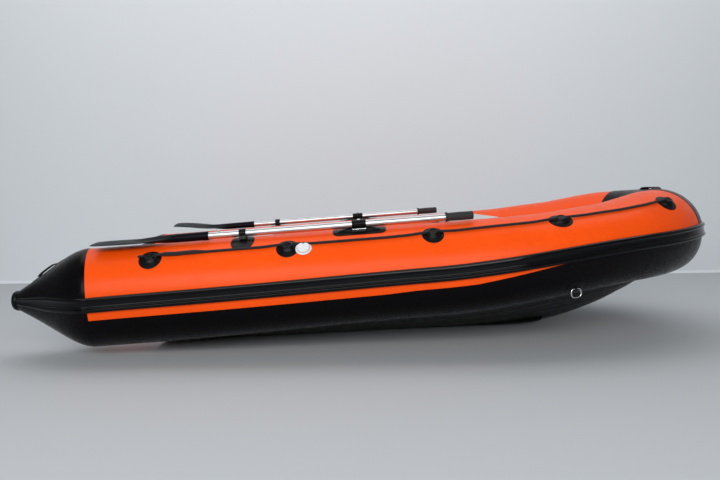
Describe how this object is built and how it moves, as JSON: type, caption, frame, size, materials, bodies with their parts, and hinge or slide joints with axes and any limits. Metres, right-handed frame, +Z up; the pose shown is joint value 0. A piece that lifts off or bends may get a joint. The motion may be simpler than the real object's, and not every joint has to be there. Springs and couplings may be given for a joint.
{
  "type": "inflatable boat",
  "caption": "Inflatable motor boat with orange air chambers, black stern cones and rub rail, a transom, sliding benches, lifelines, tow rings and stowed oars.",
  "frame": {"origin": "middle of the floor under the boat", "axes": "+X to the bow, +Y to port, +Z up"},
  "size_m": [3.419, 1.6096, 0.7597],
  "materials": {
    "orange_pvc": "satin coated fabric",
    "black_pvc": "satin coated fabric",
    "black_rubber": "moulded, satin",
    "grey_plastic": "satin",
    "grey_board": "matt grey coating",
    "anodised_aluminium": "anodised, satin",
    "stainless_steel": "polished",
    "blade_plastic": "satin",
    "black_rope": "braided"
  },
  "bodies": {
    "hull": {"port_chamber": "orange_pvc", "port_cone": "black_pvc", "port_lower_skin": "black_pvc", "port_transom_bracket": "black_rubber", "port_seat_rail": "black_rubber", "port_oarlock_pad": "black_rubber", "port_oar_clip": "black_rubber", "port_lifeline": "black_rope", "port_valve_body": "grey_plastic", "port_tow_patch": "black_rubber", "port_rope_holder_1": "black_rubber", "port_rope_holder_2": "black_rubber", "port_rope_holder_3": "black_rubber", "port_rope_holder_4": "black_rubber", "port_rope_holder_5": "black_rubber", "starboard_chamber": "orange_pvc", "starboard_cone": "black_pvc", "starboard_lower_skin": "black_pvc", "starboard_transom_bracket": "black_rubber", "starboard_seat_rail": "black_rubber", "starboard_oarlock_pad": "black_rubber", "starboard_oar_clip": "black_rubber", "starboard_lifeline": "black_rope", "starboard_valve_body": "grey_plastic", "starboard_tow_patch": "black_rubber", "starboard_rope_holder_1": "black_rubber", "starboard_rope_holder_2": "black_rubber", "starboard_rope_holder_3": "black_rubber", "starboard_rope_holder_4": "black_rubber", "starboard_rope_holder_5": "black_rubber", "rub_rail": "black_rubber", "hull_bottom": "black_pvc", "keel_chamber": "black_pvc", "floorboard_1": "grey_board", "floorboard_2": "grey_board", "floorboard_3": "grey_board", "floorboard_bow": "grey_board", "transom_board": "grey_board", "motor_plate": "black_rubber", "drain_socket": "black_rubber", "bow_patch": "black_pvc"},
    "bench_aft": {"bench_aft": "grey_plastic"},
    "bench_fore": {"bench_fore": "grey_plastic"},
    "drain_plug": {"drain_plug": "grey_plastic"},
    "port_oarlock": {"port_oarlock_swivel": "stainless_steel"},
    "port_oar": {"port_oar_shaft": "anodised_aluminium", "port_oar_sleeve": "black_rubber", "port_oar_grip": "black_rubber", "port_oar_blade": "blade_plastic"},
    "port_oar_button": {"port_oar_button": "stainless_steel"},
    "port_valve_cap": {"port_valve_cap": "grey_plastic"},
    "port_tow_ring": {"port_tow_ring": "stainless_steel"},
    "starboard_oarlock": {"starboard_oarlock_swivel": "stainless_steel"},
    "starboard_oar": {"starboard_oar_shaft": "anodised_aluminium", "starboard_oar_sleeve": "black_rubber", "starboard_oar_grip": "black_rubber", "starboard_oar_blade": "blade_plastic"},
    "starboard_oar_button": {"starboard_oar_button": "stainless_steel"},
    "starboard_valve_cap": {"starboard_valve_cap": "grey_plastic"},
    "starboard_tow_ring": {"starboard_tow_ring": "stainless_steel"}
  },
  "joints": [
    {"name": "bench_aft_slide", "type": "slide", "parent": "hull", "child": "bench_aft", "axis": [0.9982, 0, 0.0599], "range_m": [-0.03, 0.18]},
    {"name": "bench_fore_slide", "type": "slide", "parent": "hull", "child": "bench_fore", "axis": [0.9911, 0, 0.1334], "range_m": [-0.04, 0]},
    {"name": "drain_plug_pull", "type": "slide", "parent": "hull", "child": "drain_plug", "axis": [-1, 0, 0], "range_m": [0, 0.06]},
    {"name": "port_oarlock_rock", "type": "hinge", "parent": "hull", "child": "port_oarlock", "pos_m": [-0.12474, 0.62803, 0.56358], "axis": [0.9982, 0, 0.0599], "range_deg": [-2, 10], "deforming": ["port_oar_clip"]},
    {"name": "port_oar_swing", "type": "hinge", "parent": "port_oarlock", "child": "port_oar", "pos_m": [-0.12474, 0.62803, 0.56358], "axis": [-0.0581, 0.2419, 0.9686], "range_deg": [-110, 0], "deforming": ["port_oar_clip"]},
    {"name": "port_oar_button_press", "type": "slide", "parent": "port_oar", "child": "port_oar_button", "axis": [0.0611, -0.2419, -0.9684], "range_m": [0, 0.004], "stiffness_N_per_m": 800},
    {"name": "port_valve_cap_turn", "type": "hinge", "parent": "hull", "child": "port_valve_cap", "pos_m": [-0.36903, 0.72573, 0.48686], "axis": [-0.0423, 0.7071, 0.7058], "range_deg": [0, 90]},
    {"name": "port_tow_ring_swing", "type": "hinge", "parent": "hull", "child": "port_tow_ring", "pos_m": [0.83392, 0.67817, 0.28552], "axis": [0.9689, -0.1935, 0.1544], "range_deg": [-10, 110]},
    {"name": "starboard_oarlock_rock", "type": "hinge", "parent": "hull", "child": "starboard_oarlock", "pos_m": [-0.12474, -0.62803, 0.56358], "axis": [0.9982, 0, 0.0599], "range_deg": [-10, 2], "deforming": ["starboard_oar_clip"]},
    {"name": "starboard_oar_swing", "type": "hinge", "parent": "starboard_oarlock", "child": "starboard_oar", "pos_m": [-0.12474, -0.62803, 0.56358], "axis": [-0.0581, -0.2419, 0.9686], "range_deg": [0, 110], "deforming": ["starboard_oar_clip"]},
    {"name": "starboard_oar_button_press", "type": "slide", "parent": "starboard_oar", "child": "starboard_oar_button", "axis": [0.0611, 0.2419, -0.9684], "range_m": [0, 0.004], "stiffness_N_per_m": 800},
    {"name": "starboard_valve_cap_turn", "type": "hinge", "parent": "hull", "child": "starboard_valve_cap", "pos_m": [-0.36903, -0.72573, 0.48686], "axis": [-0.0423, -0.7071, 0.7058], "range_deg": [0, 90]},
    {"name": "starboard_tow_ring_swing", "type": "hinge", "parent": "hull", "child": "starboard_tow_ring", "pos_m": [0.83392, -0.67817, 0.28552], "axis": [0.9689, 0.1935, 0.1544], "range_deg": [-110, 10]}
  ]
}
